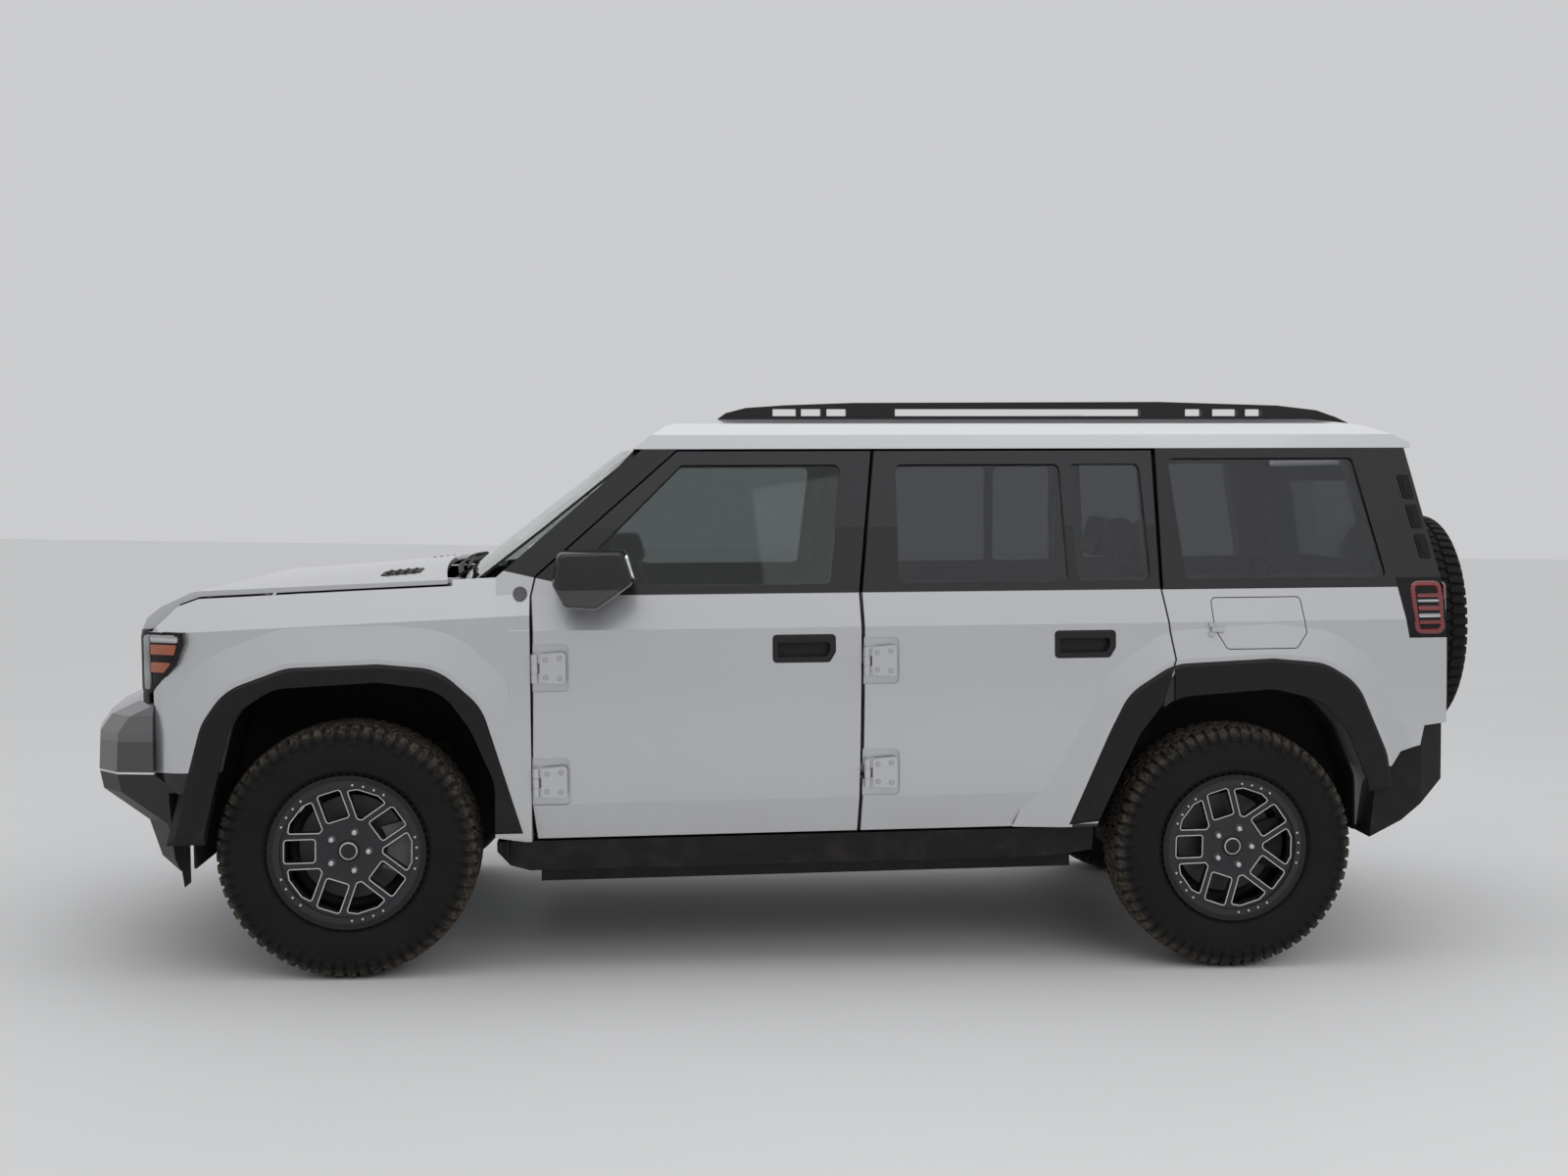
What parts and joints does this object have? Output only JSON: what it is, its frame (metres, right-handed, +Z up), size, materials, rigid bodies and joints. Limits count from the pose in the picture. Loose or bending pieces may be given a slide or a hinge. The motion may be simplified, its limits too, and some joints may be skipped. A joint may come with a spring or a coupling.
{
  "type": "sport utility vehicle",
  "caption": "Boxy off-road sport utility vehicle that rolls and steers, with opening doors, hood, charge flap and a side-hinged tailgate carrying the spare wheel.",
  "frame": {"origin": "centre of the footprint of the bounding box, on the ground", "axes": "+X forward, +Y to the vehicle's left, +Z up"},
  "size_m": [4.7843, 2.26, 1.8869],
  "materials": {
    "body_paint": "silver metallic paint, glossy clear coat",
    "frame_black": "gloss black pillars and window surrounds",
    "trim_black": "grained black plastic",
    "bumper_grey": "satin grey upper bar over black lower part",
    "hinge_black": "satin black steel",
    "privacy_glass": "dark tinted",
    "clear_glass": "light tint",
    "lamp_front": "black housing behind a clear cover",
    "lamp_rear": "red lens in a gloss black body",
    "tyre": "matt rubber",
    "alloy": "dark grey painted alloy with machined edges",
    "cast_parts": "bare cast metal",
    "drive_metal": "cast housing",
    "shaft_steel": "bare steel",
    "pan_steel": "dark underbody coating",
    "battery_case": "sheet-metal case",
    "seat_cloth": "dark woven cloth",
    "cabin_plastic": "soft-touch black"
  },
  "bodies": {
    "body": {"battery_pack": "battery_case", "body_sides": "frame_black", "cowl": "trim_black", "dashboard": "cabin_plastic", "drive_shafts": "shaft_steel", "drive_units": "drive_metal", "fenders": "body_paint", "fixed_glass": "clear_glass", "flares": "trim_black", "floor_pan": "pan_steel", "front_bumper": "bumper_grey", "front_rails": "pan_steel", "front_seats": "seat_cloth", "headlamps": "lamp_front", "hinges": "hinge_black", "nose_panel": "trim_black", "quarter_panels": "body_paint", "rear_bumper": "trim_black", "rear_seat": "seat_cloth", "roof_panel": "body_paint", "roof_rails": "trim_black", "sills": "trim_black", "subframes": "cast_parts", "tail_lamps": "lamp_rear", "wheelhouses": "trim_black"},
    "hood": {"hood": "body_paint"},
    "tailgate": {"tailgate": "body_paint", "tailgate_glass": "privacy_glass", "spare_carrier": "hinge_black", "spare_wheel": "alloy", "spare_tyre": "tyre"},
    "charge_flap": {"charge_flap": "body_paint"},
    "steering_wheel": {"steering_wheel": "cabin_plastic"},
    "front_door_left": {"front_door_left": "body_paint", "front_glass_left": "clear_glass", "mirror_left": "trim_black"},
    "rear_door_left": {"rear_door_left": "body_paint", "rear_glass_left": "privacy_glass", "rear_door_flare_left": "trim_black"},
    "front_knuckle_left": {"front_knuckle_left": "cast_parts"},
    "wheel_front_left": {"tyre_front_left": "tyre", "wheel_front_left": "alloy"},
    "wheel_rear_left": {"tyre_rear_left": "tyre", "wheel_rear_left": "alloy"},
    "front_door_right": {"front_door_right": "body_paint", "front_glass_right": "clear_glass", "mirror_right": "trim_black"},
    "rear_door_right": {"rear_door_right": "body_paint", "rear_glass_right": "privacy_glass", "rear_door_flare_right": "trim_black"},
    "front_knuckle_right": {"front_knuckle_right": "cast_parts"},
    "wheel_front_right": {"tyre_front_right": "tyre", "wheel_front_right": "alloy"},
    "wheel_rear_right": {"tyre_rear_right": "tyre", "wheel_rear_right": "alloy"}
  },
  "joints": [
    {"name": "hood_hinge", "type": "hinge", "parent": "body", "child": "hood", "pos_m": [1.18518, 0, 1.25795], "axis": [0, -1, 0], "range_deg": [0, 50]},
    {"name": "tailgate_hinge", "type": "hinge", "parent": "body", "child": "tailgate", "pos_m": [-2.07735, -0.83, 1.14766], "axis": [0.022, 0, 0.9998], "range_deg": [0, 90]},
    {"name": "charge_flap_hinge", "type": "hinge", "parent": "body", "child": "charge_flap", "pos_m": [-1.25745, 0.962, 1.13363], "axis": [-0.022, 0, -0.9998], "range_deg": [0, 90]},
    {"name": "front_door_left_hinge", "type": "hinge", "parent": "body", "child": "front_door_left", "pos_m": [0.93128, 0.968, 0.81042], "axis": [-0.022, 0, -0.9998], "range_deg": [0, 65]},
    {"name": "rear_door_left_hinge", "type": "hinge", "parent": "body", "child": "rear_door_left", "pos_m": [-0.12004, 0.968, 0.84155], "axis": [-0.022, 0, -0.9998], "range_deg": [0, 65]},
    {"name": "steer_left", "type": "hinge", "parent": "body", "child": "front_knuckle_left", "pos_m": [1.5125, 0.72, 0.405], "axis": [0, 0, 1], "range_deg": [-32, 32]},
    {"name": "wheel_front_left_spin", "type": "hinge", "parent": "front_knuckle_left", "child": "wheel_front_left", "pos_m": [1.5125, 0.82, 0.405], "axis": [0, 1, 0], "continuous": true},
    {"name": "wheel_rear_left_spin", "type": "hinge", "parent": "body", "child": "wheel_rear_left", "pos_m": [-1.3575, 0.82, 0.405], "axis": [0, 1, 0], "continuous": true},
    {"name": "front_door_right_hinge", "type": "hinge", "parent": "body", "child": "front_door_right", "pos_m": [0.93128, -0.968, 0.81042], "axis": [0.022, 0, 0.9998], "range_deg": [0, 65]},
    {"name": "rear_door_right_hinge", "type": "hinge", "parent": "body", "child": "rear_door_right", "pos_m": [-0.12004, -0.968, 0.84155], "axis": [0.022, 0, 0.9998], "range_deg": [0, 65]},
    {"name": "steer_right", "type": "hinge", "parent": "body", "child": "front_knuckle_right", "pos_m": [1.5125, -0.72, 0.405], "axis": [0, 0, 1], "range_deg": [-32, 32]},
    {"name": "wheel_front_right_spin", "type": "hinge", "parent": "front_knuckle_right", "child": "wheel_front_right", "pos_m": [1.5125, -0.82, 0.405], "axis": [0, 1, 0], "continuous": true},
    {"name": "wheel_rear_right_spin", "type": "hinge", "parent": "body", "child": "wheel_rear_right", "pos_m": [-1.3575, -0.82, 0.405], "axis": [0, 1, 0], "continuous": true},
    {"name": "steering_wheel_turn", "type": "hinge", "parent": "body", "child": "steering_wheel", "pos_m": [0.53246, 0.38, 1.13027], "axis": [-0.8968, 0, 0.4424], "range_deg": [-448, 448]}
  ],
  "couplings": [
    {"joint": "steer_right", "follows": "steer_left", "ratio": 1},
    {"joint": "steering_wheel_turn", "follows": "steer_left", "ratio": 14}
  ]
}
